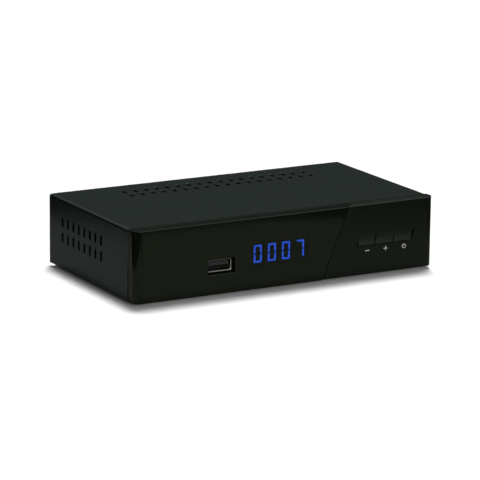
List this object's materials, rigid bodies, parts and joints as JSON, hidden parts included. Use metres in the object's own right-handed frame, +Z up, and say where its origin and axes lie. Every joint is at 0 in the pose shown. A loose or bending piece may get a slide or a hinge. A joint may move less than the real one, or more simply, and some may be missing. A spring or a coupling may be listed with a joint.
{
  "type": "terrestrial television receiver",
  "caption": "Set-top television receiver with a folded steel case, smoked display window, front memory-stick socket, sprung keys and a rear row of sockets.",
  "frame": {"origin": "under the middle of the whole box, on the surface that its feet stand on", "axes": "+X to the right seen from the front, along the width; +Y to the rear; +Z up"},
  "size_m": [0.17, 0.1036, 0.0375],
  "materials": {
    "coated_steel": "satin black powder coat",
    "zinc_steel": "zinc plated, satin",
    "black_abs": "semi-gloss moulded",
    "smoked_window": "high gloss, smoked",
    "foot_rubber": "matte",
    "board_laminate": "solder mask",
    "display_resin": "matte",
    "eye_resin": "glossy",
    "switch_resin": "matte",
    "tinned_steel": "tinned",
    "black_socket_plastic": "matte",
    "nickel_brass": "nickel plated",
    "white_insulator": "matte",
    "orange_insulator": "matte",
    "chip_resin": "matte",
    "sink_aluminium": "dark anodised",
    "capacitor_sleeve": "glossy sleeve",
    "ribbon_insulation": "matte"
  },
  "bodies": {
    "housing": {"top_cover": "coated_steel", "cover_screw_left": "coated_steel", "cover_screw_middle": "coated_steel", "cover_screw_right": "coated_steel", "base_tray": "zinc_steel", "panel_screw_left": "zinc_steel", "panel_screw_right": "zinc_steel", "front_board_screw_left": "zinc_steel", "front_board_screw_right": "zinc_steel", "board_screw_front_left": "zinc_steel", "board_screw_front_right": "zinc_steel", "board_screw_rear_left": "zinc_steel", "board_screw_rear_right": "zinc_steel", "front_panel": "black_abs", "front_window": "smoked_window", "rubber_foot_front_left": "foot_rubber", "rubber_foot_front_right": "foot_rubber", "rubber_foot_rear_left": "foot_rubber", "rubber_foot_rear_right": "foot_rubber", "main_board": "board_laminate", "front_board": "board_laminate", "display_module": "display_resin", "remote_eye": "eye_resin", "channel_down_switch": "switch_resin", "channel_up_switch": "switch_resin", "power_switch": "switch_resin", "usb_shell": "tinned_steel", "tuner_can": "tinned_steel", "tuner_lid": "tinned_steel", "hdmi_shell": "tinned_steel", "crystal_can": "tinned_steel", "usb_tongue": "black_socket_plastic", "hdmi_tongue": "black_socket_plastic", "scart_socket": "black_socket_plastic", "power_inlet_body": "black_socket_plastic", "aerial_in_barrel": "nickel_brass", "aerial_out_barrel": "nickel_brass", "aerial_out_pin": "nickel_brass", "sound_socket_barrel": "nickel_brass", "power_inlet_pin": "nickel_brass", "aerial_in_contact": "white_insulator", "front_header": "white_insulator", "main_header": "white_insulator", "sound_socket_body": "orange_insulator", "processor": "chip_resin", "memory_chip": "chip_resin", "flash_chip": "chip_resin", "power_coil": "chip_resin", "heat_sink": "sink_aluminium", "capacitor_1": "capacitor_sleeve", "capacitor_2": "capacitor_sleeve", "capacitor_3": "capacitor_sleeve", "ribbon_cable": "ribbon_insulation"},
    "channel_down": {"channel_down_key": "black_abs", "channel_down_plunger": "switch_resin"},
    "channel_up": {"channel_up_key": "black_abs", "channel_up_plunger": "switch_resin"},
    "power": {"power_key": "black_abs", "power_plunger": "switch_resin"}
  },
  "joints": [
    {"name": "channel_down_press", "type": "slide", "parent": "housing", "child": "channel_down", "axis": [0, 1, 0], "range_m": [0, 0.0005], "stiffness_N_per_m": 500},
    {"name": "channel_up_press", "type": "slide", "parent": "housing", "child": "channel_up", "axis": [0, 1, 0], "range_m": [0, 0.0005], "stiffness_N_per_m": 500},
    {"name": "power_press", "type": "slide", "parent": "housing", "child": "power", "axis": [0, 1, 0], "range_m": [0, 0.0005], "stiffness_N_per_m": 500}
  ]
}
